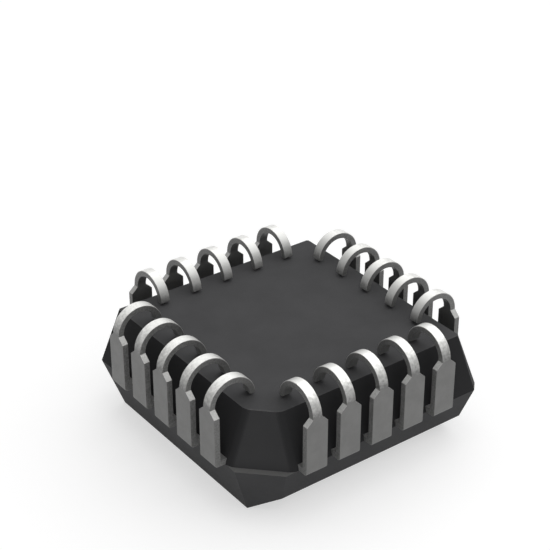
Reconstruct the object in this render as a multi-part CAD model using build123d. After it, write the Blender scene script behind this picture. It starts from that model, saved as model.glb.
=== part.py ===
from build123d import *
from math import cos, radians, sin, sqrt
import os

# A plastic leaded chip carrier with twenty J-bend leads, lying on its flat top face.
# Frame, in millimetres: the origin is the centre of the top face that it lies on, and +Z points
# from that face to the contact bends of the leads. The bevelled side, with pin one in its middle,
# faces -Y, and the index corner is at -X, -Y.

# Leads, outside the moulding
lead_pitch = 1.27
leads_per_side = 5
lead_span = 9.78  # across the outer faces of opposite leads
lead_thickness = 0.203
leg_width = 0.79
leg_height = 1.75  # from the lower face of the lead frame to the start of the shoulder
shoulder_height = 0.21  # over which the leg narrows to the curl
curl_width = 0.33
curl_radius = 0.84  # to the outer face
curl_turn = 175.0  # degrees that the curl turns through
curl_tip_round = 0.05  # how far the rounded end of the curl stands out
foot_outer_radius = 0.11  # of the right-angle bend where the leg leaves the moulding
foot_inner_radius = 0.04

# Fingers of the lead frame, inside the moulding
anchor_depth = 0.35  # the leg's full width goes this far in past the wall
finger_width = 0.50
finger_straight = 0.45  # from the anchor to where the finger leans towards the die
finger_tip_pitch = 0.62
finger_tip_width = 0.38

# Paddle and tie bars
pad_width = 3.60
pad_step_height = 0.25  # of the paddle over the fingers, away from the top face
pad_tip_gap = 0.30  # from the paddle's edge to the finger tips
tie_bar_width = 0.32
tie_bar_slope = 0.40  # length over which a tie bar steps up to the paddle
tie_bar_cover = 0.25  # moulding left over the end of a tie bar

# Die and its adhesive
die_width = 2.70
die_thickness = 0.36
attach_thickness = 0.03
attach_margin = 0.08  # adhesive squeezed out past the die on every side
bond_pad_spacing = 0.42
bond_pad_inset = 0.14  # from the die's edge to the row of bond pads

# Bond wires
wire_width = 0.033
wire_sides = 6
ball_sides = 8
wire_rise = 0.16  # from the ball to the level part of the loop
wire_bend_height = 0.05  # of the bevelled turn over the ball
wire_level = 0.35  # share of the run that stays level before the wire goes down to the finger
ball_diameter = 0.09
ball_height = 0.022
stitch_length = 0.12
stitch_width = 0.07
stitch_thickness = 0.012
stitch_inset = 0.16  # from the finger's tip to the end of the stitch

# Moulding
body_width = 9.04  # at the parting line, where it is widest
top_face_width = 7.86
bottom_face_width = 7.88
top_half_height = 1.77  # from the top face to the parting line
bottom_half_height = 1.91
bevel_height = 0.64
bevel_setback = 0.71  # of the top face's edge on the bevelled side
index_leg_top = 1.10  # legs of the index corner's chamfer, in the two halves, at the parting line
index_leg_bottom = 1.42
index_leg_end = 0.75  # on the bottom face
index_round = 0.45  # radius between the chamfer and the walls of the bottom half
corner_leg = 0.30  # of the other three corners' chamfers at the parting line
corner_leg_end = 0.06  # on the top and bottom faces
recess_diameter = 1.24
recess_depth = 0.12
recess_index_offset = 2.10  # of the recess near the index corner, from both mid-planes
recess_far_offset = 2.93

# Levels, from the top face
frame_low = top_half_height
frame_high = frame_low + lead_thickness
shoulder_low = frame_low + leg_height
shoulder_high = shoulder_low + shoulder_height
curl_top = shoulder_high + curl_radius
body_high = top_half_height + bottom_half_height
pad_low = frame_low + pad_step_height
pad_high = pad_low + lead_thickness
attach_low = pad_low - attach_thickness
die_low = attach_low - die_thickness
wire_low = die_low - ball_height - wire_rise

# Distances out from the centre
outer_face = lead_span / 2
inner_face = outer_face - lead_thickness
anchor_end = body_width / 2 - anchor_depth
finger_knee = anchor_end - finger_straight
finger_tip = pad_width / 2 + pad_tip_gap
bond_row = die_width / 2 - bond_pad_inset
clear = 2 * lead_span  # past everything, for cuts that go right through


def side_prism(profile, width):
    """Extrudes a closed profile of (distance out along -Y, height) to a width centred on X."""
    face = make_face(Plane.YZ * Polyline(*[(-out, height) for out, height in profile], close=True))
    return extrude(face, amount=width / 2, both=True)


def corner_reach(square_width, leg):
    """Distance from the centre to a corner's chamfer, on a square with this leg cut off."""
    return (square_width - leg) / sqrt(2)


def index_cutter(low, low_reach, high, high_reach):
    """Cutter for the -X, -Y corner: a flat face through a reach at each of two levels."""
    slope = (high_reach - low_reach) / (high - low)
    profile = [
        (low_reach - slope * clear, low - clear),
        (clear + abs(slope) * clear, low - clear),
        (clear + abs(slope) * clear, high + clear),
        (high_reach + slope * clear, high + clear),
    ]
    return Rot(0, 0, -45) * side_prism(profile, clear)


def drafted_block(low, low_width, high, high_width):
    """Square block with drafted walls between two levels: a trapezoid run both ways."""
    low_half = low_width / 2
    high_half = high_width / 2
    profile = [(-low_half, low), (low_half, low), (high_half, high), (-high_half, high)]
    slab = side_prism(profile, clear)
    return slab & Rot(0, 0, 90) * slab


def make_top_half():
    """Half of the moulding that lies on the ground, with the bevel and both recesses."""
    half = drafted_block(0, top_face_width, top_half_height, body_width)

    # The bevel runs from the set-back edge of the top face out to the side wall.
    wall_lean = (body_width - top_face_width) / 2 / top_half_height
    bevel_edge = top_face_width / 2 - bevel_setback
    bevel_lean = wall_lean + bevel_setback / bevel_height
    bevel_profile = [
        (bevel_edge - bevel_lean * bevel_height, -bevel_height),
        (clear, -bevel_height),
        (clear, 2 * bevel_height),
        (bevel_edge + bevel_lean * 2 * bevel_height, 2 * bevel_height),
    ]
    half -= side_prism(bevel_profile, clear)

    # The index chamfer ends in the corner of the bevelled top face.
    half -= index_cutter(
        0,
        corner_reach(top_face_width, bevel_setback),
        top_half_height,
        corner_reach(body_width, index_leg_top),
    )
    corner = index_cutter(
        0,
        corner_reach(top_face_width, corner_leg_end),
        top_half_height,
        corner_reach(body_width, corner_leg),
    )
    for turn in (90, 180, 270):
        half -= Rot(0, 0, turn) * corner

    recess = Cylinder(recess_diameter / 2, 2 * recess_depth)
    half -= Pos(-recess_index_offset, -recess_index_offset, 0) * recess
    half -= Pos(recess_far_offset, recess_far_offset, 0) * recess
    return half


def make_bottom_half():
    """Half of the moulding that the leads curl over."""
    half = drafted_block(top_half_height, body_width, body_high, bottom_face_width)
    half -= index_cutter(
        top_half_height,
        corner_reach(body_width, index_leg_bottom),
        body_high,
        corner_reach(bottom_face_width, index_leg_end),
    )

    # The chamfer runs softly into the walls, over the two upright edges nearest its corner.
    upright = half.edges().filter_by(lambda edge: abs((edge % 0.5).Z) > 0.5)
    half = fillet(upright.sort_by(Axis((0, 0, 0), (1, 1, 0)))[:2], index_round)

    corner = index_cutter(
        top_half_height,
        corner_reach(body_width, corner_leg),
        body_high,
        corner_reach(bottom_face_width, corner_leg_end),
    )
    for turn in (90, 180, 270):
        half -= Rot(0, 0, turn) * corner
    return half


def curl_point(radius, turned):
    """Point of the curl's side view, in the YZ plane, after a turn in degrees from the leg."""
    angle = radians(turned)
    return (-(outer_face - curl_radius + radius * cos(angle)), shoulder_high + radius * sin(angle))


def make_lead_side():
    """Side view of a lead: the foot, the leg and the curl."""
    foot_out = outer_face - foot_outer_radius
    foot_in = inner_face - foot_inner_radius
    curl_inner = curl_radius - lead_thickness
    curl_middle = curl_radius - lead_thickness / 2
    outer_half = sin(radians(45)) * foot_outer_radius
    inner_half = sin(radians(45)) * foot_inner_radius
    tip_turn = curl_turn + curl_tip_round / radians(1) / curl_middle
    return make_face(
        Plane.YZ
        * Curve(
            [
                Line((-anchor_end, frame_low), (-foot_out, frame_low)),
                ThreePointArc(
                    (-foot_out, frame_low),
                    (-foot_out - outer_half, frame_low + foot_outer_radius - outer_half),
                    (-outer_face, frame_low + foot_outer_radius),
                ),
                Line((-outer_face, frame_low + foot_outer_radius), (-outer_face, shoulder_high)),
                ThreePointArc(
                    curl_point(curl_radius, 0),
                    curl_point(curl_radius, curl_turn / 2),
                    curl_point(curl_radius, curl_turn),
                ),
                ThreePointArc(
                    curl_point(curl_radius, curl_turn),
                    curl_point(curl_middle, tip_turn),
                    curl_point(curl_inner, curl_turn),
                ),
                ThreePointArc(
                    curl_point(curl_inner, curl_turn),
                    curl_point(curl_inner, curl_turn / 2),
                    curl_point(curl_inner, 0),
                ),
                Line((-inner_face, shoulder_high), (-inner_face, frame_high + foot_inner_radius)),
                ThreePointArc(
                    (-inner_face, frame_high + foot_inner_radius),
                    (-foot_in - inner_half, frame_high + foot_inner_radius - inner_half),
                    (-foot_in, frame_high),
                ),
                Line((-foot_in, frame_high), (-anchor_end, frame_high)),
                Line((-anchor_end, frame_high), (-anchor_end, frame_low)),
            ]
        )
    )


def make_lead(place):
    """One lead on the -Y side, a signed number of pitches from the middle of the side."""
    half_leg = leg_width / 2
    half_curl = curl_width / 2
    strip = extrude(make_lead_side(), amount=half_leg, both=True)

    # Front view: the full width of the leg, the shoulder and the narrow curl.
    front = Polyline(
        (-half_leg, frame_low),
        (half_leg, frame_low),
        (half_leg, shoulder_low),
        (half_curl, shoulder_high),
        (half_curl, curl_top),
        (-half_curl, curl_top),
        (-half_curl, shoulder_high),
        (-half_leg, shoulder_low),
        close=True,
    )
    outside = strip & extrude(make_face(Plane.XZ * front), amount=clear, both=True)

    # Plan of the finger, from the anchor to the tip that the wire is bonded to.
    across = place * lead_pitch
    tip_across = place * finger_tip_pitch
    half_finger = finger_width / 2
    half_tip = finger_tip_width / 2
    plan = Polyline(
        (across - half_finger, -anchor_end),
        (across - half_finger, -finger_knee),
        (tip_across - half_tip, -finger_tip),
        (tip_across + half_tip, -finger_tip),
        (across + half_finger, -finger_knee),
        (across + half_finger, -anchor_end),
        close=True,
    )
    finger = extrude(Plane.XY.offset(frame_low) * make_face(plan), amount=lead_thickness)
    return Pos(across, 0, 0) * outside + finger


def make_die_pad():
    """Paddle and its four tie bars, stamped and stepped from one sheet."""
    pad = Pos(0, 0, pad_low) * Box(
        pad_width, pad_width, lead_thickness, align=(Align.CENTER, Align.CENTER, Align.MIN)
    )
    pad_corner = corner_reach(pad_width, tie_bar_width)
    step_end = pad_corner + tie_bar_slope
    index_end = corner_reach(body_width, index_leg_bottom) - tie_bar_cover
    other_end = corner_reach(body_width, corner_leg) - tie_bar_cover
    for turn, end in ((0, index_end), (90, other_end), (180, other_end), (270, other_end)):
        bar_profile = [
            (pad_corner - tie_bar_width, pad_low),
            (pad_corner, pad_low),
            (step_end, frame_low),
            (end, frame_low),
            (end, frame_high),
            (step_end, frame_high),
            (pad_corner, pad_high),
            (pad_corner - tie_bar_width, pad_high),
        ]
        pad += Rot(0, 0, turn - 45) * side_prism(bar_profile, tie_bar_width)
    return pad


def make_layer(width, low, thickness):
    """Square layer, centred on the axis."""
    return Pos(0, 0, low) * Box(
        width, width, thickness, align=(Align.CENTER, Align.CENTER, Align.MIN)
    )


def make_bond_wire(place):
    """Wire on the -Y side, from a ball on the die to a flattened stitch on the finger."""
    tip_lean = (lead_pitch - finger_tip_pitch) / (finger_knee - finger_tip)
    ball_spot = Vector(place * bond_pad_spacing, -bond_row, 0)
    stitch_across = place * (finger_tip_pitch + stitch_inset * tip_lean)
    run = Vector(stitch_across, -finger_tip - stitch_inset, 0) - ball_spot
    heading = run.normalized()
    length = run.length

    # Upright plane of the loop: distance along the run, and height.
    loop_plane = Plane(origin=ball_spot, x_dir=heading, z_dir=heading.cross(Vector(0, 0, 1)))
    end_height = frame_low - wire_width / 2
    path = loop_plane * Polyline(
        (0, die_low - ball_height / 2),
        (0, wire_low + wire_bend_height),
        (wire_bend_height, wire_low),
        (wire_level * length, wire_low),
        (length - stitch_length, end_height),
        (length, end_height),
    )
    start = Plane(origin=path @ 0, x_dir=heading, z_dir=path % 0)
    section = start * RegularPolygon(
        wire_width / 2, wire_sides, major_radius=False, rotation=180 / wire_sides
    )
    wire = sweep(section, path=path, transition=Transition.RIGHT)

    ball_face = Pos(ball_spot.X, ball_spot.Y, die_low) * RegularPolygon(ball_diameter / 2, ball_sides)
    ball = extrude(ball_face, amount=-ball_height)
    stitch_middle = loop_plane.from_local_coords((length - stitch_length / 2, 0, 0))
    stitch_plane = Plane(
        origin=(stitch_middle.X, stitch_middle.Y, frame_low - stitch_thickness / 2),
        x_dir=heading,
        z_dir=(0, 0, 1),
    )
    stitch = stitch_plane * Box(stitch_length, stitch_width, stitch_thickness)
    return wire + ball + stitch


def on_side(solid, side):
    """Turns a piece from the -Y side to a side counted clockwise as seen from +Z."""
    return Rot(0, 0, -90 * side) * solid


def export(node, shape):
    """Writes one node's single solid to its own file."""
    solid = shape.solids()[0]
    solid.label = node
    export_step(solid, f"parts/{node}.step")


os.makedirs("parts", exist_ok=True)

die_pad = make_die_pad()
die_attach = make_layer(die_width + 2 * attach_margin, attach_low, attach_thickness)
silicon_die = make_layer(die_width, die_low, die_thickness)

# Pin one is in the middle of the -Y side and the count goes on clockwise as seen from +Z.
middle_place = leads_per_side // 2
lead_count = 4 * leads_per_side
leads = []
wires = []
for pin in range(lead_count):
    slot = (pin + middle_place) % lead_count
    side = slot // leads_per_side
    place = middle_place - slot % leads_per_side
    leads.append(on_side(make_lead(place), side))
    wires.append(on_side(make_bond_wire(place), side))

# The moulding fills everything around the pieces that it holds.
moulded_body = make_top_half() + make_bottom_half()
moulded_body -= [die_pad, die_attach, silicon_die, *leads, *wires]

export("moulded_body", moulded_body)
export("die_pad", die_pad)
export("die_attach", die_attach)
export("silicon_die", silicon_die)
for number, lead in enumerate(leads, start=1):
    export(f"lead_{number:02d}", lead)
for number, wire in enumerate(wires, start=1):
    export(f"bond_wire_{number:02d}", wire)
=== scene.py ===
import logging
from collections.abc import Callable, Iterator
from dataclasses import dataclass
from enum import Enum
from math import atan2, cos, degrees, hypot, pi, radians, sin, tan

import bmesh
import bpy
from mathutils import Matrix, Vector


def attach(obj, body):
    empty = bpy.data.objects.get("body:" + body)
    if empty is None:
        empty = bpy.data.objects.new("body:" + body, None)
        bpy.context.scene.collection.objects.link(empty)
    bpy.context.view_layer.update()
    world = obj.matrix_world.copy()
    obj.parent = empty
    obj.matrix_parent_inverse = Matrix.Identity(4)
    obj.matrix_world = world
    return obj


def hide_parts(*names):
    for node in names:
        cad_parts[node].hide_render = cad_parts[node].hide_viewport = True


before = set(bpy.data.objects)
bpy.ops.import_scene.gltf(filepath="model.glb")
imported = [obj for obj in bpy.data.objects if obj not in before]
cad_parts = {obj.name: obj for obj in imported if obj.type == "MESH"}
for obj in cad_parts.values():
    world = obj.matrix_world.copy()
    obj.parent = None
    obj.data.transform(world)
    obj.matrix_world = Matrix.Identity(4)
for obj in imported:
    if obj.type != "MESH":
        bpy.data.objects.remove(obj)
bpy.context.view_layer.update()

# A plastic leaded chip carrier that lies on its top face, with its twenty J-bend leads up.
# Every piece of the chip is modelled in millimetres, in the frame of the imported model, and is
# brought to metres when it is finished.

LOG = logging.getLogger("chip")

MM_PER_METRE = 1000.0
SQUARE_ON = 0.9  # a direction with more than this share along an axis counts as lying along it
NEARBY = 0.01  # millimetres within which a place counts as met
WELD = 1e-5  # millimetres within which corners are one
QUARTER_TURN = 90.0
INDEX_CORNER = 225.0  # degrees from +X to the index corner
WHITE = (1.0, 1.0, 1.0, 1.0)

# A noise value stays near one half. These stretches of it are drawn out to the full contrast.
CRISP = (0.35, 0.65)
SOFT = (0.3, 0.7)
NOISE_ROUGHNESS = 0.55

Tree = bpy.types.NodeTree
Socket = bpy.types.NodeSocket
# A test of a face's centre and normal, or of an edge's middle and direction.
PlaceTest = Callable[[Vector, Vector], bool]


class Side(Enum):
    """A side of the chip, by its quarter turns clockwise from the bevelled side."""

    BEVELLED = 0
    INDEX = 1
    BACK = 2
    PLAIN = 3


class Slot(Enum):
    """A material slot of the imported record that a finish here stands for."""

    EPOXY = "epoxy"
    TINNED = "tinned_copper"


# Nodes and colours


def linear(code: str) -> tuple[float, float, float, float]:
    """Turns an sRGB hex colour into the linear colour that a socket takes.

    Args:
        code: The colour, such as "#8a8a8a".

    Returns:
        Red, green, blue and an alpha of one.
    """
    channels = [int(code[at : at + 2], 16) / 255 for at in (1, 3, 5)]
    red, green, blue = (c / 12.92 if c <= 0.04045 else ((c + 0.055) / 1.055) ** 2.4 for c in channels)
    return (red, green, blue, 1.0)


def add_node(
    tree: Tree,
    kind: str,
    settings: dict[str, object] | None = None,
    inputs: dict[str | int, object] | None = None,
) -> bpy.types.Node:
    """Adds a node with its settings, and sets or links its inputs.

    Args:
        tree: The node tree that gets the node.
        kind: The node's type name.
        settings: Values for the node's own properties.
        inputs: A value, or a socket to link from, for each input by name or index.

    Returns:
        The new node.
    """
    node = tree.nodes.new(kind)
    for name, value in (settings or {}).items():
        setattr(node, name, value)
    for key, value in (inputs or {}).items():
        if isinstance(value, Socket):
            tree.links.new(value, node.inputs[key])
        else:
            node.inputs[key].default_value = value
    return node


def new_finish(name: str) -> tuple[bpy.types.Material, Tree, bpy.types.Node]:
    """Starts a material.

    Args:
        name: The finish, in a maker's words.

    Returns:
        The material, its node tree and its Principled shader.
    """
    material = bpy.data.materials.new(name)
    material.use_nodes = True
    tree = material.node_tree
    tree.nodes.clear()
    shader = add_node(tree, "ShaderNodeBsdfPrincipled")
    add_node(tree, "ShaderNodeOutputMaterial", inputs={"Surface": shader.outputs[0]})
    return material, tree, shader


def millimetres(tree: Tree) -> Socket:
    """Gives the Object coordinates in millimetres.

    Args:
        tree: The node tree.

    Returns:
        The coordinates.
    """
    place = add_node(tree, "ShaderNodeTexCoord")
    inputs = {0: place.outputs["Object"], "Scale": MM_PER_METRE}
    return add_node(tree, "ShaderNodeVectorMath", {"operation": "SCALE"}, inputs).outputs[0]


def marked(tree: Tree, name: str) -> Socket:
    """Reads a mark that the modelling left on the mesh.

    Args:
        tree: The node tree.
        name: The attribute's name.

    Returns:
        The mark, from zero to one.
    """
    return add_node(tree, "ShaderNodeAttribute", {"attribute_name": name}).outputs["Fac"]


def noise(tree: Tree, where: Socket, size_mm: float, detail: float = 3.0) -> Socket:
    """Noise whose lumps are about one size.

    Args:
        tree: The node tree.
        where: Coordinates in millimetres.
        size_mm: The size of a lump.
        detail: Octaves of finer noise over it.

    Returns:
        The noise's value, near one half.
    """
    inputs = {"Vector": where, "Scale": 1.0 / size_mm, "Detail": detail, "Roughness": NOISE_ROUGHNESS}
    return add_node(tree, "ShaderNodeTexNoise", inputs=inputs).outputs["Fac"]


def spread(
    tree: Tree, value: Socket, source: tuple[float, float], target: tuple[float, float]
) -> Socket:
    """Maps one range of a value onto another, held at both ends.

    Args:
        tree: The node tree.
        value: The value to map.
        source: The range that it comes in.
        target: The range that it goes out in.

    Returns:
        The mapped value.
    """
    node = add_node(
        tree,
        "ShaderNodeMapRange",
        {"clamp": True},
        {"Value": value, 1: source[0], 2: source[1], 3: target[0], 4: target[1]},
    )
    return node.outputs[0]


def combine(tree: Tree, operation: str, first: object, second: object) -> Socket:
    """Joins two values with one arithmetic operation.

    Args:
        tree: The node tree.
        operation: The operation's type name.
        first: A number or a socket.
        second: The same.

    Returns:
        The result.
    """
    node = add_node(tree, "ShaderNodeMath", {"operation": operation}, {0: first, 1: second})
    return node.outputs[0]


def blend_colours(tree: Tree, factor: Socket, low: object, high: object) -> Socket:
    """Mixes two colours.

    Args:
        tree: The node tree.
        factor: The share of the second colour.
        low: The first colour, as a socket or a linear colour.
        high: The second.

    Returns:
        The mixed colour.
    """
    node = add_node(tree, "ShaderNodeMix", {"data_type": "RGBA"}, {"Factor": factor, 6: low, 7: high})
    return node.outputs[2]


def two_tone(tree: Tree, grain: Socket, low: str, high: str) -> Socket:
    """Lets a noise run between two colours.

    Args:
        tree: The node tree.
        grain: The noise.
        low: The hex colour where it is low.
        high: The hex colour where it is high.

    Returns:
        The colour.
    """
    return blend_colours(tree, spread(tree, grain, CRISP, (0.0, 1.0)), linear(low), linear(high))


def uneven(tree: Tree, grain: Socket, middle: float, play: float) -> Socket:
    """Lets a noise carry a value to both sides of its middle.

    Args:
        tree: The node tree.
        grain: The noise.
        middle: The value's middle.
        play: How far it goes to each side.

    Returns:
        The value.
    """
    return spread(tree, grain, SOFT, (middle - play, middle + play))


def relief(tree: Tree, height: Socket, depth_mm: float, under: Socket | None = None) -> Socket:
    """Bumps a surface.

    Args:
        tree: The node tree.
        height: The height, from zero to one.
        depth_mm: The real depth that a height of one stands for.
        under: A normal that this relief lies over.

    Returns:
        The bumped normal.
    """
    inputs: dict[str | int, object] = {
        "Height": height,
        "Distance": depth_mm / MM_PER_METRE,
    }
    if under is not None:
        inputs["Normal"] = under
    return add_node(tree, "ShaderNodeBump", inputs=inputs).outputs[0]


# Finishes


@dataclass(frozen=True)
class MouldedEpoxy:
    """Black epoxy, filled with fused silica and pressed in a spark-eroded mould."""

    colour: str = "#4d4d4e"
    dark: str = "#484849"
    wear_and_highlight: str = "#5e5e5d"
    land_highlight: str = "#6c6c6b"
    painted_shade_colour: str = "#303031"
    ior: float = 1.50
    sheen: float = 0.04
    roughness: float = 0.62
    roughness_play: float = 0.05
    edge_polish: float = 0.12  # how much smoother a rubbed edge is
    edge_paling: tuple[float, float] = (0.25, 0.75)
    cloud_mm: float = 1.6
    grain_mm: float = 0.075
    grain_depth_mm: float = 0.0016
    speck_mm: float = 0.15  # between the silica grains that show
    speck_reach: tuple[float, float] = (0.10, 0.20)  # of a grain, in shares of that distance
    speck_strength: float = 0.10
    rim_mm: float = 3.94  # from the middle of the underside to its sides
    rim_corner_mm: float = 5.04  # and to its chamfered index corner
    rim_width_mm: float = 0.09
    rim_side_highlight: float = 0.3  # along the sides, in shares of the index corner's
    rim_highlight_range: tuple[float, float] = (0.1, 0.8)
    rag_mm: float = 0.14
    rag_contrast: tuple[float, float] = (0.40, 0.60)

    def make(self) -> bpy.types.Material:
        """Makes the material.

        Returns:
            The material.
        """
        # The filler makes the black a soft dark grey with a satin sheen, and the eroded mould
        # leaves an even, fine pebbling with no direction.
        material, tree, shader = new_finish("moulded epoxy")
        where = millimetres(tree)
        clouds = noise(tree, where, self.cloud_mm)
        # Spark pits are about 0.03 mm across, too fine for the picture, so they are drawn at 0.075 mm.
        grain = noise(tree, where, self.grain_mm)
        tone = two_tone(tree, clouds, self.dark, self.colour)
        # Silica grains at the surface show as faint pale specks.
        cells = add_node(
            tree,
            "ShaderNodeTexVoronoi",
            inputs={"Vector": where, "Scale": 1.0 / self.speck_mm, "Randomness": 1.0},
        )
        specks = spread(tree, cells.outputs["Distance"], self.speck_reach, (self.speck_strength, 0.0))
        tone = blend_colours(tree, specks, tone, linear(self.wear_and_highlight))
        # Painted shade: the walls of the half that the leads curl over are painted darker, most of all
        # behind the leads, where the leads shade them.
        tone = blend_colours(tree, marked(tree, "painted_shade"), tone, linear(self.painted_shade_colour))
        # Handling rubs the edges a little paler and smoother.
        wear = spread(tree, clouds, SOFT, self.edge_paling)
        paler_share = combine(tree, "MULTIPLY", marked(tree, "edge"), wear)
        tone = blend_colours(tree, paler_share, tone, linear(self.wear_and_highlight))
        # Painted highlight: a pale, ragged line along the rim of the underside.
        tone = blend_colours(tree, self.rim_highlight(tree, where), tone, linear(self.wear_and_highlight))
        # Painted highlight: the land between the halves, the level face at the parting line, is painted
        # paler, as if more light fell on it.
        tone = blend_colours(tree, marked(tree, "land"), tone, linear(self.land_highlight))
        tree.links.new(tone, shader.inputs["Base Color"])
        shade = uneven(tree, grain, self.roughness, self.roughness_play)
        tree.links.new(
            combine(tree, "SUBTRACT", shade, combine(tree, "MULTIPLY", paler_share, self.edge_polish)),
            shader.inputs["Roughness"],
        )
        tree.links.new(relief(tree, grain, self.grain_depth_mm), shader.inputs["Normal"])
        shader.inputs["IOR"].default_value = self.ior
        shader.inputs["Specular IOR Level"].default_value = self.sheen
        return material

    def rim_highlight(self, tree: Tree, where: Socket) -> Socket:
        """Gives the painted highlight along the ragged border of the underside.

        Args:
            tree: The node tree.
            where: Coordinates in millimetres.

        Returns:
            How strong the painted highlight on the border is, from zero to one.
        """
        place = add_node(tree, "ShaderNodeSeparateXYZ", inputs={0: where})
        across = combine(tree, "ABSOLUTE", place.outputs["X"], 0.0)
        square = combine(tree, "MAXIMUM", across, combine(tree, "ABSOLUTE", place.outputs["Y"], 0.0))
        diagonal = combine(tree, "ADD", place.outputs["X"], place.outputs["Y"])
        corner = combine(tree, "MULTIPLY", diagonal, -(0.5**0.5))
        side_band = (self.rim_mm - self.rim_width_mm, self.rim_mm)
        corner_band = (self.rim_corner_mm - self.rim_width_mm, self.rim_corner_mm)
        near_side = spread(tree, square, side_band, (0.0, self.rim_side_highlight))
        near_corner = spread(tree, corner, corner_band, (0.0, 1.0))
        near = combine(tree, "MAXIMUM", near_side, near_corner)
        ragged = spread(tree, noise(tree, where, self.rag_mm), self.rag_contrast, self.rim_highlight_range)
        return combine(tree, "MULTIPLY", marked(tree, "under"), combine(tree, "MULTIPLY", near, ragged))


@dataclass(frozen=True)
class TinnedStrip:
    """Rolled copper strip, stamped, plated with matte tin and bent."""

    colour: str = "#767675"
    shade: str = "#70706f"
    sheared: str = "#7e7e7d"
    torn: str = "#666665"
    tip_shade_colour: str = "#484847"
    bright: str = "#e8e8e5"
    metal: float = 0.5
    cut_metal: float = 0.1
    roughness: float = 0.46
    roughness_play: float = 0.04
    polish: float = 0.08  # how much smoother worn metal is
    cloud_mm: float = 0.45
    crystal_mm: float = 0.06
    crystal_depth_mm: float = 0.0012
    line_mm: float = 0.03
    line_length_mm: float = 0.9
    line_depth_mm: float = 0.0014
    outer_mm: tuple[float, float] = (0.01, 0.03)  # depth over which the outer face's burnish and painted highlight end
    # Along the strip from the foot: the burnish and painted highlight start, are full, start to fade and
    # are gone.
    burnish_and_highlight_mm: tuple[float, float, float, float] = (2.00, 2.85, 3.35, 4.60)
    burnish_and_highlight_play_mm: float = 0.11
    burnish_and_highlight_strength: tuple[float, float] = (0.84, 1.0)
    peen_mm: float = 0.10
    peen_contrast: tuple[float, float] = (0.38, 0.62)
    tip_shade_mm: tuple[float, float] = (3.2, 4.5)  # along the strip, as the painted shade on the cut sides grows
    tip_shade_strength: float = 0.5
    edge_paling_mm: tuple[float, float] = (3.2, 4.0)  # along the strip, as the edges' wear and painted highlight fade
    edge_paling: tuple[float, float] = (0.45, 0.05)
    shoulder_highlight: float = 0.35
    wear_play: tuple[float, float] = (0.7, 1.0)

    def make(self) -> bpy.types.Material:
        """Makes the material.

        Returns:
            The material.
        """
        # Matte tin is a soft grey metal with a fine crystal grain over faint rolling lines. Its crystals
        # scatter half of the light and the sheared edges are duller. The outside of the curl is painted
        # bright, partly as the bending tool's burnish and partly as a painted highlight; the sloped
        # shoulders get a painted highlight, and the edges are painted paler, partly as handling wear and
        # partly as painted highlight.
        material, tree, shader = new_finish("matte tin plate on rolled copper strip")
        where = millimetres(tree)
        strip = add_node(tree, "ShaderNodeAttribute", {"attribute_name": "strip"}).outputs["Vector"]
        # Tin crystals are a few hundredths of a millimetre across, drawn at 0.06 mm to show.
        crystals = noise(tree, where, self.crystal_mm)
        clouds = noise(tree, where, self.cloud_mm, 2.0)
        peened = noise(tree, where, self.peen_mm)
        stretched = add_node(
            tree,
            "ShaderNodeMapping",
            inputs={
                "Vector": strip,
                "Scale": (1.0 / self.line_mm, 1.0 / self.line_length_mm, 1.0 / self.line_mm),
            },
        ).outputs[0]
        lines = noise(tree, stretched, 1.0, 2.0)
        flat = add_node(tree, "ShaderNodeSeparateXYZ", inputs={0: strip})
        # The outside of the curl is painted bright, partly the bending tool's burnish and partly a
        # painted highlight.
        outer = spread(tree, flat.outputs["Z"], self.outer_mm, (1.0, 0.0))
        along = combine(tree, "ADD", flat.outputs["Y"], uneven(tree, peened, 0.0, self.burnish_and_highlight_play_mm))
        rising = spread(tree, along, self.burnish_and_highlight_mm[:2], (0.0, 1.0))
        fading = spread(tree, along, self.burnish_and_highlight_mm[2:], (1.0, 0.0))
        burnished_and_lit_zone = combine(tree, "MULTIPLY", outer, combine(tree, "MULTIPLY", rising, fading))
        patchy = spread(tree, peened, self.peen_contrast, self.burnish_and_highlight_strength)
        burnish_and_highlight = combine(tree, "MULTIPLY", burnished_and_lit_zone, patchy)
        tone = two_tone(tree, clouds, self.shade, self.colour)
        sheared = marked(tree, "sheared")
        rough_cut = two_tone(tree, crystals, self.torn, self.sheared)
        # Painted shade: the cut sides are painted darker towards the end of the curl, where it turns in
        # towards the body.
        painted_tip_shade = spread(tree, flat.outputs["Y"], self.tip_shade_mm, (0.0, self.tip_shade_strength))
        rough_cut = blend_colours(tree, painted_tip_shade, rough_cut, linear(self.tip_shade_colour))
        tone = blend_colours(tree, sheared, tone, rough_cut)
        # The edges are painted paler, partly as handling wear and partly as painted highlight, less
        # towards the tip; the sloped shoulder faces get a painted highlight.
        edge_paling = spread(tree, flat.outputs["Y"], self.edge_paling_mm, self.edge_paling)
        paler_share = combine(
            tree,
            "MAXIMUM",
            combine(tree, "MULTIPLY", marked(tree, "edge"), edge_paling),
            combine(tree, "MULTIPLY", marked(tree, "shoulder"), self.shoulder_highlight),
        )
        wear_and_highlight = combine(tree, "MULTIPLY", paler_share, spread(tree, crystals, CRISP, self.wear_play))
        smooth_and_highlight = combine(tree, "MAXIMUM", burnish_and_highlight, wear_and_highlight)
        # The bright colour carries the burnish, the edges' wear and the painted highlights.
        tone = blend_colours(tree, smooth_and_highlight, tone, linear(self.bright))
        tree.links.new(tone, shader.inputs["Base Color"])
        metal = spread(tree, sheared, (0.0, 1.0), (self.metal, self.cut_metal))
        tree.links.new(metal, shader.inputs["Metallic"])
        mottle = uneven(tree, crystals, self.roughness, self.roughness_play)
        tree.links.new(
            combine(tree, "SUBTRACT", mottle, combine(tree, "MULTIPLY", smooth_and_highlight, self.polish)),
            shader.inputs["Roughness"],
        )
        grain = relief(tree, crystals, self.crystal_depth_mm)
        tree.links.new(relief(tree, lines, self.line_depth_mm, grain), shader.inputs["Normal"])
        return material


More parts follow.
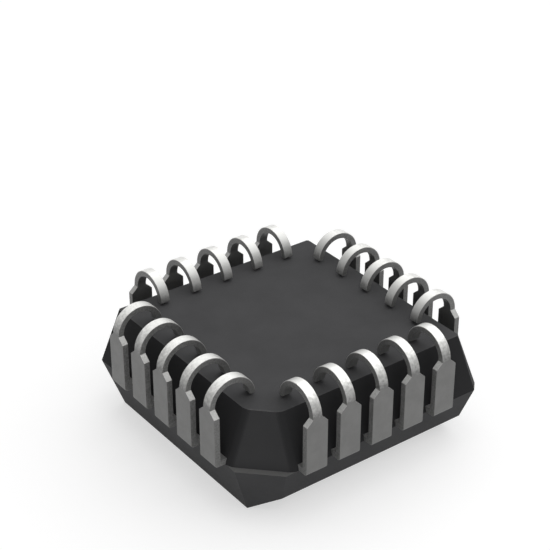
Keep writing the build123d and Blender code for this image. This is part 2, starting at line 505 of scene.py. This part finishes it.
@dataclass(frozen=True)
class InnerMetal:
    """A metal inside the moulding, drawn with a fine grain of its own."""

    name: str
    colour: str
    shade: str
    roughness: float
    grain_mm: float
    roughness_play: float = 0.05
    grain_depth_mm: float = 0.001

    def make(self) -> bpy.types.Material:
        """Makes the material.

        Returns:
            The material.
        """
        # Clean metal that has never been handled keeps one even tone with a faint grain.
        material, tree, shader = new_finish(self.name)
        grain = noise(tree, millimetres(tree), self.grain_mm)
        tree.links.new(two_tone(tree, grain, self.shade, self.colour), shader.inputs["Base Color"])
        shader.inputs["Metallic"].default_value = 1.0
        shade = uneven(tree, grain, self.roughness, self.roughness_play)
        tree.links.new(shade, shader.inputs["Roughness"])
        tree.links.new(relief(tree, grain, self.grain_depth_mm), shader.inputs["Normal"])
        return material


@dataclass(frozen=True)
class SilverAdhesive:
    """Epoxy adhesive filled with silver flake, printed and cured."""

    colour: str = "#9a9a98"
    shade: str = "#6f6f6e"
    metal: float = 0.5
    roughness: tuple[float, float] = (0.55, 0.35)  # of the resin and of a flake
    flake_mm: float = 0.03
    flake_reach: tuple[float, float] = (0.2, 0.7)

    def make(self) -> bpy.types.Material:
        """Makes the material.

        Returns:
            The material.
        """
        # Flakes lie at all angles in the resin, so the grey glitters a little without shining.
        material, tree, shader = new_finish("silver-filled adhesive")
        cells = add_node(
            tree,
            "ShaderNodeTexVoronoi",
            inputs={"Vector": millimetres(tree), "Scale": 1.0 / self.flake_mm},
        )
        flake = spread(tree, cells.outputs["Distance"], self.flake_reach, (1.0, 0.0))
        tone = blend_colours(tree, flake, linear(self.shade), linear(self.colour))
        tree.links.new(tone, shader.inputs["Base Color"])
        tree.links.new(spread(tree, flake, (0.0, 1.0), self.roughness), shader.inputs["Roughness"])
        shader.inputs["Metallic"].default_value = self.metal
        return material


@dataclass(frozen=True)
class PolishedSilicon:
    """Silicon die under its thin, clear passivation."""

    colour: str = "#4a4f5c"
    street: str = "#2f333d"
    metal: float = 0.6
    roughness: tuple[float, float] = (0.14, 0.22)
    cell_mm: float = 0.18
    street_width: float = 0.03
    haze_mm: float = 0.05

    def make(self) -> bpy.types.Material:
        """Makes the material.

        Returns:
            The material.
        """
        # Blocks of circuit under the clear layer give a blue-grey sheen in small rectangles.
        material, tree, shader = new_finish("passivated silicon")
        bricks = add_node(
            tree,
            "ShaderNodeTexBrick",
            inputs={
                "Vector": millimetres(tree),
                "Scale": 0.5 / self.cell_mm,
                "Color1": linear(self.colour),
                "Color2": linear(self.street),
                "Mortar": linear(self.street),
                "Mortar Size": self.street_width,
            },
        )
        tree.links.new(bricks.outputs["Color"], shader.inputs["Base Color"])
        haze = noise(tree, millimetres(tree), self.haze_mm, 2.0)
        tree.links.new(spread(tree, haze, SOFT, self.roughness), shader.inputs["Roughness"])
        shader.inputs["Metallic"].default_value = self.metal
        return material


@dataclass(frozen=True)
class PaperSweep:
    """White paper that the chip stands on."""

    colour: str = "#c0c0c0"
    roughness: float = 0.9
    lift: tuple[float, float] = (0.58, 0.86)  # near the chip and far from it
    lit_m: tuple[float, float] = (0.15, 1.2)  # where the lift starts to grow and where it is full

    def make(self) -> bpy.types.Material:
        """Makes the material.

        Returns:
            The material.
        """
        # Plain matte white, a touch lighter to the eye and in reflections than it lights the chip.
        # Beyond the softbox's reach it stays as white.
        material, tree, shader = new_finish("white paper sweep")
        shader.inputs["Base Color"].default_value = linear(self.colour)
        shader.inputs["Roughness"].default_value = self.roughness
        shader.inputs["Specular IOR Level"].default_value = 0.0
        shader.inputs["Emission Color"].default_value = WHITE
        where = add_node(tree, "ShaderNodeTexCoord").outputs["Object"]
        away = add_node(tree, "ShaderNodeVectorMath", {"operation": "LENGTH"}, {0: where})
        lift = spread(tree, away.outputs["Value"], self.lit_m, self.lift)
        glow = combine(tree, "MULTIPLY", seen_rays(tree), lift)
        tree.links.new(glow, shader.inputs["Emission Strength"])
        return material


def seen_rays(tree: Tree) -> Socket:
    """Picks the rays that show the surroundings to the eye, in metal and glass too.

    Args:
        tree: The node tree.

    Returns:
        One for these rays and zero for those that only carry light.
    """
    path = add_node(tree, "ShaderNodeLightPath")
    shown = combine(tree, "MAXIMUM", path.outputs["Is Camera Ray"], path.outputs["Is Glossy Ray"])
    return combine(tree, "MAXIMUM", shown, path.outputs["Is Transmission Ray"])


# Modelling


def clear_selection() -> None:
    """Goes back to object mode and selects nothing."""
    if bpy.context.object is not None and bpy.context.object.mode != "OBJECT":
        bpy.ops.object.mode_set(mode="OBJECT")
    bpy.ops.object.select_all(action="DESELECT")


def start_block(
    name: str, size: tuple[float, float, float], centre: tuple[float, float, float]
) -> bpy.types.Object:
    """Adds a box to be shaped, and leaves it in edit mode with nothing selected.

    Args:
        name: The piece's name.
        size: Its size along X, Y and Z, in millimetres.
        centre: Its centre, in millimetres.

    Returns:
        The new object.
    """
    clear_selection()
    bpy.ops.mesh.primitive_cube_add(size=1.0, location=centre)
    block = bpy.context.object
    block.name = name
    block.data.name = name
    block.scale = size
    bpy.ops.object.transform_apply(location=True, rotation=True, scale=True)
    bpy.ops.object.mode_set(mode="EDIT")
    bpy.ops.mesh.select_all(action="DESELECT")
    return block


def pick_faces(piece: bpy.types.Object, test: PlaceTest) -> None:
    """Selects the faces that pass a test.

    Args:
        piece: The object, in edit mode.
        test: Takes a face's centre and normal.
    """
    bpy.ops.mesh.select_mode(type="FACE")
    bpy.ops.mesh.select_all(action="DESELECT")
    mesh = bmesh.from_edit_mesh(piece.data)
    for face in mesh.faces:
        face.select_set(test(face.calc_center_median(), face.normal))
    bmesh.update_edit_mesh(piece.data)


def pick_edges(piece: bpy.types.Object, test: PlaceTest) -> None:
    """Selects the edges that pass a test.

    Args:
        piece: The object, in edit mode.
        test: Takes an edge's middle and direction.
    """
    bpy.ops.mesh.select_mode(type="EDGE")
    bpy.ops.mesh.select_all(action="DESELECT")
    mesh = bmesh.from_edit_mesh(piece.data)
    for edge in mesh.edges:
        first, second = (vertex.co for vertex in edge.verts)
        edge.select_set(test((first + second) / 2, (second - first).normalized()))
    bmesh.update_edit_mesh(piece.data)


def cut_flat(point: Vector, normal: Vector) -> None:
    """Cuts the piece in edit mode along a plane, closes the cut and drops what lies outside.

    Args:
        point: A point of the plane.
        normal: The plane's normal, which points to what is cut away.
    """
    bpy.ops.mesh.select_all(action="SELECT")
    bpy.ops.mesh.bisect(
        plane_co=point, plane_no=normal.normalized(), use_fill=True, clear_outer=True, threshold=WELD
    )


def ramp(value: float, start: float, end: float) -> float:
    """Gives how far a value has come from one level to another, held at both ends.

    Args:
        value: The value.
        start: The level that gives zero.
        end: The level that gives one.

    Returns:
        The share, from zero to one.
    """
    return min(max((value - start) / (end - start), 0.0), 1.0)


def apply_modifier(piece: bpy.types.Object, kind: str, settings: dict[str, object]) -> None:
    """Adds a modifier with its settings and applies it.

    Args:
        piece: The object, in object mode.
        kind: The modifier's type name.
        settings: Values for its properties.
    """
    bpy.context.view_layer.objects.active = piece
    modifier = piece.modifiers.new(kind.lower(), kind)
    for name, value in settings.items():
        setattr(modifier, name, value)
    bpy.ops.object.modifier_apply(modifier=modifier.name)


def soften(piece: bpy.types.Object, radius: float, least_angle: float) -> None:
    """Rounds the edges and keeps where they are in the face attribute "edge".

    Args:
        piece: The object, in object mode and in millimetres.
        radius: Width of the rounding.
        least_angle: Edges flatter than this many degrees stay as they are.
    """
    apply_modifier(
        piece,
        "BEVEL",
        {
            "width": radius,
            "segments": 3,
            "limit_method": "ANGLE",
            "angle_limit": radians(least_angle),
            "miter_outer": "MITER_ARC",
            "material": 1,
        },
    )
    edge = piece.data.attributes.new("edge", "FLOAT", "FACE")
    for face in piece.data.polygons:
        edge.data[face.index].value = float(face.material_index == 1)
        face.material_index = 0


def finish_piece(
    piece: bpy.types.Object, material: bpy.types.Material, nodes: list[str]
) -> None:
    """Brings a piece to metres, smooths it, dresses it and ties it to the frame.

    Args:
        piece: The object, in object mode and in millimetres.
        material: Its finish.
        nodes: The CAD nodes that it replaces.
    """
    clear_selection()
    piece.select_set(True)
    bpy.context.view_layer.objects.active = piece
    bpy.ops.object.shade_smooth()
    apply_modifier(piece, "WEIGHTED_NORMAL", {"mode": "FACE_AREA", "weight": 80})
    piece.scale = (1 / MM_PER_METRE,) * 3
    bpy.ops.object.transform_apply(location=True, rotation=True, scale=True)
    piece.data.materials.clear()
    piece.data.materials.append(material)
    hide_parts(*nodes)
    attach(piece, "root")
    LOG.info("%s: %d faces, stands for %s", piece.name, len(piece.data.polygons), ", ".join(nodes))


@dataclass
class Moulding:
    """The epoxy body: two drafted halves, the bevel, the chamfers and the ejector recesses.

    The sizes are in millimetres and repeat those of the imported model. The edge's radius and what
    follows it are for the looks alone.
    """

    width: float = 9.04
    top_face: float = 7.86
    bottom_face: float = 7.88
    top_half: float = 1.77
    bottom_half: float = 1.91
    bevel_height: float = 0.64
    bevel_setback: float = 0.71
    index_leg_top: float = 1.10
    index_leg_bottom: float = 1.42
    index_leg_end: float = 0.75
    index_round: float = 0.45
    corner_leg: float = 0.30
    corner_leg_end: float = 0.06
    recess_diameter: float = 1.24
    recess_depth: float = 0.12
    recess_faces: int = 64
    recess_index: float = 2.10
    recess_far: float = 2.93
    edge_radius: float = 0.035
    edge_angle: float = 12.0  # edges that are flatter stay sharp
    corner_painted_shade: float = 0.57  # painted shade on the bottom half's chamfers, in shares of that on its walls
    wall_squareness: tuple[float, float] = (0.71, 0.86)  # of a normal, from chamfer to wall, as the painted shade grows
    wall_rise: tuple[float, float] = (0.9, 0.6)  # of a normal, from the underside to a wall, as the painted shade grows
    clear_of_parting: float = 0.02  # height over the parting line at which the walls and their painted shade start

    def chamfer(self, turns: int, low: tuple[float, float], high: tuple[float, float]) -> None:
        """Cuts one upright corner of the half in edit mode.

        Args:
            turns: Quarter turns from the index corner.
            low: The height, and the reach from the centre, where the flat starts.
            high: The same where it ends.
        """
        angle = radians(INDEX_CORNER - QUARTER_TURN * turns)
        out = Vector((cos(angle), sin(angle), 0.0))
        slope = (high[1] - low[1]) / (high[0] - low[0])
        point = out * low[1] + Vector((0.0, 0.0, low[0]))
        cut_flat(point, out - Vector((0.0, 0.0, slope)))

    def reach(self, width: float, leg: float) -> float:
        """Works out where a corner's chamfer lies.

        Args:
            width: Width of the square.
            leg: What the chamfer cuts off each side.

        Returns:
            The distance from the centre to the chamfer.
        """
        return (width - leg) / 2**0.5

    def half(
        self, name: str, low: float, low_width: float, high: float, high_width: float
    ) -> bpy.types.Object:
        """Adds one drafted half, in edit mode.

        Args:
            name: The half's name.
            low: Its lowest level.
            low_width: Its width there.
            high: Its highest level.
            high_width: Its width there.

        Returns:
            The half.
        """
        size = (low_width, low_width, high - low)
        block = start_block(name, size, (0.0, 0.0, (low + high) / 2))
        pick_faces(block, lambda _, normal: normal.z > SQUARE_ON)
        share = high_width / low_width
        bpy.ops.transform.resize(value=(share, share, 1.0), center_override=(0.0, 0.0, high))
        return block

    def make_top_half(self) -> bpy.types.Object:
        """Shapes the half that lies on the floor.

        Returns:
            The half, in object mode.
        """
        parting = self.top_half
        block = self.half("top_half", 0.0, self.top_face, parting, self.width)
        wall_lean = (self.width - self.top_face) / 2 / parting
        lean = wall_lean + self.bevel_setback / self.bevel_height
        edge = -(self.top_face / 2 - self.bevel_setback)
        cut_flat(Vector((0.0, edge, 0.0)), Vector((0.0, -1.0, -lean)))
        self.chamfer(
            0,
            (0.0, self.reach(self.top_face, self.bevel_setback)),
            (parting, self.reach(self.width, self.index_leg_top)),
        )
        for turns in (1, 2, 3):
            self.chamfer(
                turns,
                (0.0, self.reach(self.top_face, self.corner_leg_end)),
                (parting, self.reach(self.width, self.corner_leg)),
            )
        clear_selection()
        return block

    def make_bottom_half(self) -> bpy.types.Object:
        """Shapes the half that the leads curl over.

        Returns:
            The half, in object mode.
        """
        low, high = self.top_half, self.top_half + self.bottom_half
        block = self.half("bottom_half", low, self.width, high, self.bottom_face)
        self.chamfer(
            0,
            (low, self.reach(self.width, self.index_leg_bottom)),
            (high, self.reach(self.bottom_face, self.index_leg_end)),
        )
        # The chamfer runs softly into the walls. It meets each of them at 45 degrees.
        pick_edges(block, lambda middle, way: abs(way.z) > 0.5 and middle.x + middle.y < -self.width / 2)
        setback = self.index_round * tan(radians(QUARTER_TURN / 2) / 2)
        bpy.ops.mesh.bevel(offset=setback, segments=8, affect="EDGES")
        for turns in (1, 2, 3):
            self.chamfer(
                turns,
                (low, self.reach(self.width, self.corner_leg)),
                (high, self.reach(self.bottom_face, self.corner_leg_end)),
            )
        clear_selection()
        return block

    def make_recess_punch(self, place: float) -> bpy.types.Object:
        """Makes the round punch that one ejector pin leaves its recess with.

        Args:
            place: Its distance from both mid-planes.

        Returns:
            The punch, in object mode.
        """
        clear_selection()
        bpy.ops.mesh.primitive_cylinder_add(
            vertices=self.recess_faces,
            radius=self.recess_diameter / 2,
            depth=2 * self.recess_depth,
            location=(place, place, 0.0),
        )
        punch = bpy.context.object
        bpy.ops.object.transform_apply(location=True, rotation=True, scale=True)
        return punch

    def make(self, material: bpy.types.Material) -> None:
        """Joins the halves, sinks the recesses and finishes the moulding.

        Args:
            material: The epoxy.
        """
        body = self.make_top_half()
        tools = [(self.make_bottom_half(), "UNION")]
        for place in (-self.recess_index, self.recess_far):
            tools.append((self.make_recess_punch(place), "DIFFERENCE"))
        for tool, operation in tools:
            settings = {"operation": operation, "object": tool, "solver": "EXACT"}
            apply_modifier(body, "BOOLEAN", settings)
            bpy.data.objects.remove(tool)
        body.name = body.data.name = "moulding"
        soften(body, self.edge_radius, self.edge_angle)
        self.mark_faces(body)
        finish_piece(body, material, ["moulded_body"])

    def mark_faces(self, body: bpy.types.Object) -> None:
        """Marks the underside, the land at the parting line with its painted highlight, and the walls
        over it with their painted shade.

        Args:
            body: The moulding.
        """
        # A new attribute moves the others, so all are made before one is held.
        marks = ("land", "painted_shade", "under")
        for name in marks:
            body.data.attributes.new(name, "FLOAT", "FACE")
        land, painted_shade, under = (body.data.attributes[name].data for name in marks)
        for face in body.data.polygons:
            over = face.center.z - self.top_half
            level = face.normal.z > SQUARE_ON
            land[face.index].value = float(level and abs(over) < NEARBY)
            under[face.index].value = float(level and over > self.bottom_half / 2)
            # Painted shade on the walls over the parting line, strongest where a wall stands square to
            # its side, behind the leads.
            if over > self.clear_of_parting:
                square = max(abs(face.normal.x), abs(face.normal.y))
                behind_leads = ramp(square, *self.wall_squareness)
                shade = self.corner_painted_shade + (1.0 - self.corner_painted_shade) * behind_leads
                painted_shade[face.index].value = ramp(face.normal.z, *self.wall_rise) * shade


@dataclass
class JLeads:
    """The twenty leads, each bent from one tinned strip.

    The sizes are in millimetres and the turn in degrees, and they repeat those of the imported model.
    Places in the plane of the leads are distances from the middle of the chip.
    """

    pitch: float = 1.27
    on_side: int = 5
    span: float = 9.78
    thickness: float = 0.203
    width: float = 0.79
    exit_level: float = 1.77
    leg: float = 1.75
    shoulder: float = 0.21
    curl_width: float = 0.33
    curl_radius: float = 0.84
    curl_turn: float = 175.0
    curl_steps: int = 45
    tip_reach: float = 0.05  # how far the rounded tip goes on past the turn
    tip_radius: float = 0.075
    foot_outer: float = 0.11  # radius of the bend at the foot, outside and inside
    foot_inner: float = 0.04
    anchor: float = 4.17  # where the leg's full width ends
    finger_step: float = 0.03  # over which it narrows to the finger
    finger_knee: float = 3.72  # where the finger starts to lean
    finger_tip: float = 2.10
    finger_width: float = 0.50
    tip_pitch: float = 0.62
    tip_width: float = 0.38
    edge_radius: float = 0.028
    edge_angle: float = 35.0  # edges that are flatter stay sharp

    @property
    def outer(self) -> float:
        """Distance of the outer face from the centre."""
        return self.span / 2

    @property
    def inner(self) -> float:
        """Distance of the leg's inner face from the centre."""
        return self.outer - self.thickness

    @property
    def curl_start(self) -> float:
        """Height at which the curl starts."""
        return self.exit_level + self.leg + self.shoulder

    @property
    def curl_out(self) -> float:
        """Distance of the curl's axis from the centre."""
        return self.outer - self.curl_radius

    @property
    def full_turn(self) -> float:
        """Degrees that the curl turns through, with its rounded tip."""
        return self.curl_turn + degrees(self.tip_reach / (self.curl_radius - self.thickness / 2))

    def push(self, vector: tuple[float, float, float], share: float = 1.0) -> None:
        """Extrudes what is selected and narrows or widens the new end.

        Args:
            vector: How far the end moves.
            share: The end's new width, in shares of the old one.
        """
        bpy.ops.mesh.extrude_region_move(TRANSFORM_OT_translate={"value": vector})
        if share != 1.0:
            bpy.ops.transform.resize(value=(share, 1.0, 1.0))

    def round_bend(
        self, lead: bpy.types.Object, face: float, level: float, radius: float, segments: int
    ) -> None:
        """Rounds the edge across the strip that lies at one place of the foot.

        Args:
            lead: The lead, in edit mode.
            face: The edge's distance from the centre.
            level: Its height.
            radius: The bend's radius.
            segments: Faces across it.
        """
        pick_edges(
            lead,
            lambda middle, way: abs(way.x) > SQUARE_ON
            and abs(middle.y + face) < NEARBY
            and abs(middle.z - level) < NEARBY,
        )
        bpy.ops.mesh.bevel(offset=radius, segments=segments, affect="EDGES")

    def bend_strip(self, place: int) -> bpy.types.Object:
        """Makes one lead on the bevelled side.

        Args:
            place: Pitches from the middle of the side, to the right as seen from outside.

        Returns:
            The lead, in object mode.
        """
        across = place * self.pitch
        frame_top = self.exit_level + self.thickness
        corner = (across, -self.outer + self.thickness / 2, self.exit_level + self.thickness / 2)
        lead = start_block("lead", (self.width, self.thickness, self.thickness), corner)

        # The leg, its shoulder and the narrow curl.
        pick_faces(lead, lambda _, normal: normal.z > SQUARE_ON)
        self.push((0.0, 0.0, self.leg - self.thickness))
        self.push((0.0, 0.0, self.shoulder), self.curl_width / self.width)
        bpy.ops.mesh.spin(
            steps=self.curl_steps,
            angle=radians(self.full_turn),
            center=(0.0, -self.curl_out, self.curl_start),
            axis=(1.0, 0.0, 0.0),
        )
        bpy.ops.mesh.select_all(action="SELECT")
        bpy.ops.mesh.remove_doubles(threshold=WELD)

        # The foot goes in through the wall and becomes the finger.
        pick_faces(
            lead,
            lambda centre, normal: normal.y > SQUARE_ON
            and centre.z < frame_top
            and centre.y < -self.inner + NEARBY,
        )
        self.push((0.0, self.inner - self.anchor, 0.0))
        self.push((0.0, self.finger_step, 0.0), self.finger_width / self.width)
        self.push((0.0, self.anchor - self.finger_step - self.finger_knee, 0.0))
        lean = place * (self.tip_pitch - self.pitch)
        self.push((lean, self.finger_knee - self.finger_tip, 0.0), self.tip_width / self.finger_width)

        # The bends at the foot, and the rounded tip, whose edges lie at the end of the turn.
        self.round_bend(lead, self.outer, self.exit_level, self.foot_outer, segments=6)
        self.round_bend(lead, self.inner, frame_top, self.foot_inner, segments=4)
        last = self.full_turn - 0.5
        pick_edges(lead, lambda middle, way: abs(way.x) > SQUARE_ON and self.turned(middle) > last)
        bpy.ops.mesh.bevel(offset=self.tip_radius, segments=4, affect="EDGES")
        clear_selection()
        soften(lead, self.edge_radius, self.edge_angle)
        self.mark_strip(lead, across)
        return lead

    def turned(self, point: Vector) -> float:
        """Works out how far round the curl a point lies.

        Args:
            point: A point of the lead.

        Returns:
            Degrees from the curl's start, or zero below it.
        """
        up = point.z - self.curl_start
        if up <= 0.0:
            return 0.0
        return degrees(atan2(up, -point.y - self.curl_out))

    def mark_strip(self, lead: bpy.types.Object, across: float) -> None:
        """Marks where the lead was on the flat strip before it was bent.

        The point attribute "strip" holds the place across, along and under the outer face. The face
        attributes "sheared" and "shoulder" mark the edges that the stamping tool left, and the sloped
        shoulder faces take a painted highlight.

        Args:
            lead: The lead on the bevelled side.
            across: Its middle along X.
        """
        strip = lead.data.attributes.new("strip", "FLOAT_VECTOR", "POINT")
        for vertex in lead.data.vertices:
            point = vertex.co
            depth = self.outer + point.y
            along = point.z - self.exit_level
            if -point.y < self.inner - self.foot_inner and point.z < self.curl_start:
                along = -depth
                depth = point.z - self.exit_level
            elif point.z > self.curl_start:
                along = self.leg + self.shoulder + self.curl_radius * radians(self.turned(point))
                depth = self.curl_radius - hypot(point.z - self.curl_start, -point.y - self.curl_out)
            strip.data[vertex.index].vector = (point.x - across, along, depth)
        # A new attribute moves the others, so both are made before one is held.
        marks = ("sheared", "shoulder")
        for name in marks:
            lead.data.attributes.new(name, "FLOAT", "FACE")
        sheared, shoulder = (lead.data.attributes[name].data for name in marks)
        for face in lead.data.polygons:
            side = abs(face.normal.x)
            at_shoulder = self.curl_start - self.shoulder < face.center.z < self.curl_start
            sheared[face.index].value = float(side > SQUARE_ON)
            shoulder[face.index].value = float(at_shoulder and 0.5 < side < SQUARE_ON)

    def pins(self) -> Iterator[tuple[int, Side, int]]:
        """Goes round the chip from pin one.

        Yields:
            The pin's number, its side and its place on that side.
        """
        middle = self.on_side // 2
        count = len(Side) * self.on_side
        for pin in range(count):
            slot = (pin + middle) % count
            yield pin + 1, Side(slot // self.on_side), middle - slot % self.on_side

    def make(self, material: bpy.types.Material) -> None:
        """Makes a lead for each place on a side and copies it to the pins of all sides.

        Args:
            material: The tinned strip.
        """
        middle = self.on_side // 2
        masters = {place: self.bend_strip(place) for place in range(-middle, middle + 1)}
        for pin, side, place in self.pins():
            clear_selection()
            master = masters[place]
            master.select_set(True)
            bpy.context.view_layer.objects.active = master
            bpy.ops.object.duplicate(linked=False)
            lead = bpy.context.object
            lead.name = lead.data.name = f"j_lead_{pin:02d}"
            lead.rotation_euler = (0.0, 0.0, radians(-QUARTER_TURN * side.value))
            finish_piece(lead, material, [f"lead_{pin:02d}"])
        for master in masters.values():
            bpy.data.objects.remove(master)


@dataclass
class HeldInside:
    """The pieces in the middle of the moulding, which keep their CAD solids."""

    wire_count: int = 20

    def dress(self, nodes: list[str], material: bpy.types.Material) -> None:
        """Gives a finish to CAD nodes.

        Args:
            nodes: The nodes' names.
            material: Their finish.
        """
        for name in nodes:
            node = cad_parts[name]
            for slot in node.material_slots:
                slot.material = material
        LOG.info("%s on %d nodes", material.name, len(nodes))

    def make(self) -> None:
        """Dresses the paddle, the adhesive, the die and the bond wires."""
        copper = InnerMetal("bare stamped copper", "#c98e69", "#b87a56", roughness=0.32, grain_mm=0.08)
        gold = InnerMetal("drawn gold wire", "#e6c271", "#d8b060", roughness=0.20, grain_mm=0.02)
        self.dress(["die_pad"], copper.make())
        self.dress(["die_attach"], SilverAdhesive().make())
        self.dress(["silicon_die"], PolishedSilicon().make())
        self.dress([f"bond_wire_{wire:02d}" for wire in range(1, self.wire_count + 1)], gold.make())


@dataclass(frozen=True)
class Softbox:
    """A flat, evenly bright light that faces the chip.

    The azimuth and the elevation are in the camera's terms, and the width and the height in metres.
    The glow is how bright it is to look at, where white paper is one.
    """

    name: str
    azimuth: float
    elevation: float
    width: float
    height: float
    glow: float

    def hang(self, distance: float) -> None:
        """Hangs the softbox.

        Args:
            distance: How far it is from the chip, in metres.
        """
        light = bpy.data.lights.new(self.name, "AREA")
        light.shape = "RECTANGLE"
        light.size = self.width
        light.size_y = self.height
        light.energy = self.glow * pi * light.size * light.size_y
        softbox = bpy.data.objects.new(self.name, light)
        bpy.context.collection.objects.link(softbox)
        back = direction(self.azimuth, self.elevation)
        softbox.location = back * distance
        softbox.rotation_euler = back.to_track_quat("Z", "Y").to_euler()


@dataclass
class Studio:
    """The white sweep, the soft lights and the camera.

    The camera was fitted to the photograph. Its distance and its aim are in millimetres.
    """

    azimuth: float = -36.76
    elevation: float = 30.14
    distance: float = 49.78
    aim: tuple[float, float, float] = (0.206, 0.885, 4.954)
    focal_px: float = 1535.0
    image_px: float = 550.0
    sensor: float = 36.0
    clip_m: tuple[float, float] = (0.001, 20.0)
    floor_m: float = 4.0
    floor_drop_m: float = 2e-6  # keeps the floor clear of the face that lies on it
    sky: float = 0.20
    hang_m: float = 0.64
    softboxes: tuple[Softbox, ...] = (
        Softbox("top softbox", azimuth=95.0, elevation=71.0, width=1.12, height=1.12, glow=1.30),
        Softbox("front fill", azimuth=-37.0, elevation=4.0, width=1.0, height=0.3, glow=2.4),
    )

    def make_floor(self) -> None:
        """Lays the sweep."""
        clear_selection()
        bpy.ops.mesh.primitive_plane_add(size=self.floor_m, location=(0.0, 0.0, -self.floor_drop_m))
        floor = bpy.context.object
        floor.name = "sweep"
        floor.data.materials.append(PaperSweep().make())

    def make_sky(self) -> None:
        """Lights all round evenly, and shows white behind the chip."""
        world = bpy.data.worlds.new("soft studio")
        bpy.context.scene.world = world
        world.use_nodes = True
        tree = world.node_tree
        tree.nodes.clear()
        strength = spread(tree, seen_rays(tree), (0.0, 1.0), (self.sky, 1.0))
        background = add_node(tree, "ShaderNodeBackground", inputs={"Color": WHITE, "Strength": strength})
        add_node(tree, "ShaderNodeOutputWorld", inputs={"Surface": background.outputs[0]})

    def place_camera(self) -> None:
        """Puts the camera where the photograph was taken from."""
        camera = bpy.data.cameras.new("camera")
        camera.sensor_width = self.sensor
        camera.lens = self.focal_px * self.sensor / self.image_px
        camera.clip_start, camera.clip_end = self.clip_m
        holder = bpy.data.objects.new("camera", camera)
        bpy.context.collection.objects.link(holder)
        back = direction(self.azimuth, self.elevation)
        holder.location = (Vector(self.aim) + back * self.distance) / MM_PER_METRE
        holder.rotation_euler = back.to_track_quat("Z", "Y").to_euler()
        bpy.context.scene.camera = holder

    def make(self) -> None:
        """Sets up the whole studio."""
        self.place_camera()
        self.make_floor()
        self.make_sky()
        for softbox in self.softboxes:
            softbox.hang(self.hang_m)
        bpy.context.scene.view_settings.view_transform = "Standard"


def direction(azimuth: float, elevation: float) -> Vector:
    """Points from the chip towards an azimuth and an elevation.

    Args:
        azimuth: Degrees anticlockwise from -Y as seen from above.
        elevation: Degrees above the floor.

    Returns:
        The vector, of length one.
    """
    turn, rise = radians(azimuth), radians(elevation)
    return Vector((sin(turn) * cos(rise), -cos(turn) * cos(rise), sin(rise)))


def main() -> None:
    """Builds the studio, the moulding, the leads and what is inside, in this order."""
    logging.basicConfig(level=logging.INFO, format="%(name)s: %(message)s")
    Studio().make()
    Moulding().make(MouldedEpoxy().make())
    JLeads().make(TinnedStrip().make())
    HeldInside().make()


if __name__ == "__main__":
    main()
